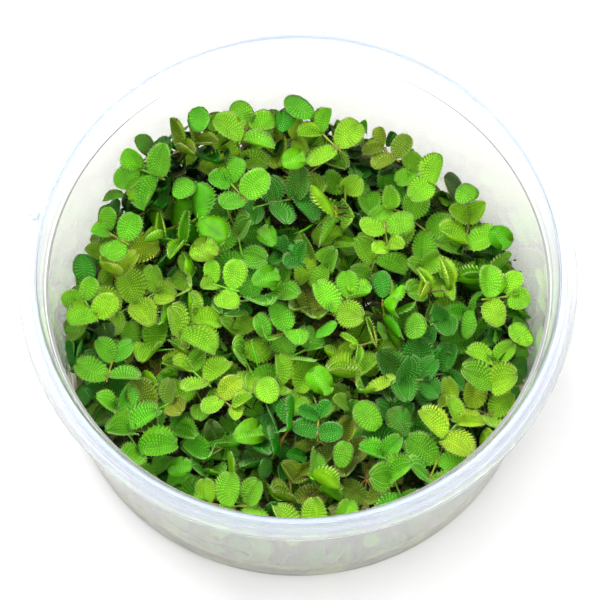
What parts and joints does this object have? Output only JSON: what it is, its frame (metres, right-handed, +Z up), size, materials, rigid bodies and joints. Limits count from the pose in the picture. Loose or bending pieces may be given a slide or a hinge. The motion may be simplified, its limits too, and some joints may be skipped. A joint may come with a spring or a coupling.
{
  "type": "tub of salvinia",
  "caption": "Round clear plastic tub with a rolled rim, crowded with small floating ferns whose oval ribbed leaves sit in pairs on short rhizomes.",
  "frame": {"origin": "middle of the tub's flat underside", "axes": "+Z up along the tub's axis, +Y towards the side where the plants are heaped highest, +X to the right as seen from the front"},
  "size_m": [0.118, 0.118, 0.049],
  "materials": {
    "clear_plastic": "clear, glossy, slightly hazy moulded plastic",
    "matted_leaves": "wet old leaves, stems and roots, dark green to brown",
    "leaf_bright_green": "soft satin leaf with rows of fine hairs",
    "leaf_green": "soft satin leaf with rows of fine hairs",
    "leaf_deep_green": "soft satin leaf with rows of fine hairs",
    "leaf_yellow_green": "soft satin young leaf with rows of fine hairs"
  },
  "bodies": {
    "root": {"tub": "clear_plastic", "matted_plants": "matted_leaves", "plant_01": "leaf_bright_green", "plant_02": "leaf_green", "plant_03": "leaf_deep_green", "plant_04": "leaf_yellow_green", "plant_05": "leaf_bright_green", "plant_06": "leaf_green", "plant_07": "leaf_deep_green", "plant_08": "leaf_yellow_green", "plant_09": "leaf_bright_green", "plant_10": "leaf_green", "plant_11": "leaf_deep_green", "plant_12": "leaf_yellow_green", "plant_13": "leaf_bright_green", "plant_14": "leaf_green", "plant_15": "leaf_deep_green", "plant_16": "leaf_yellow_green", "plant_17": "leaf_bright_green", "plant_18": "leaf_green", "plant_19": "leaf_deep_green", "plant_20": "leaf_yellow_green", "plant_21": "leaf_bright_green", "plant_22": "leaf_green", "plant_23": "leaf_deep_green", "plant_24": "leaf_yellow_green", "plant_25": "leaf_bright_green", "plant_26": "leaf_green", "plant_27": "leaf_deep_green", "plant_28": "leaf_yellow_green", "plant_29": "leaf_bright_green", "plant_30": "leaf_green", "plant_31": "leaf_deep_green", "plant_32": "leaf_yellow_green", "plant_33": "leaf_bright_green", "plant_34": "leaf_green", "plant_35": "leaf_deep_green", "plant_36": "leaf_yellow_green", "plant_37": "leaf_bright_green", "plant_38": "leaf_green", "plant_39": "leaf_deep_green", "plant_40": "leaf_yellow_green", "plant_41": "leaf_bright_green", "plant_42": "leaf_green", "plant_43": "leaf_deep_green", "plant_44": "leaf_yellow_green", "plant_45": "leaf_bright_green", "plant_46": "leaf_green", "plant_47": "leaf_deep_green", "plant_48": "leaf_yellow_green", "plant_49": "leaf_bright_green", "plant_50": "leaf_green", "plant_51": "leaf_deep_green", "plant_52": "leaf_yellow_green", "plant_53": "leaf_bright_green", "plant_54": "leaf_green", "plant_55": "leaf_deep_green", "plant_56": "leaf_yellow_green", "plant_57": "leaf_bright_green", "plant_58": "leaf_green"}
  },
  "joints": []
}
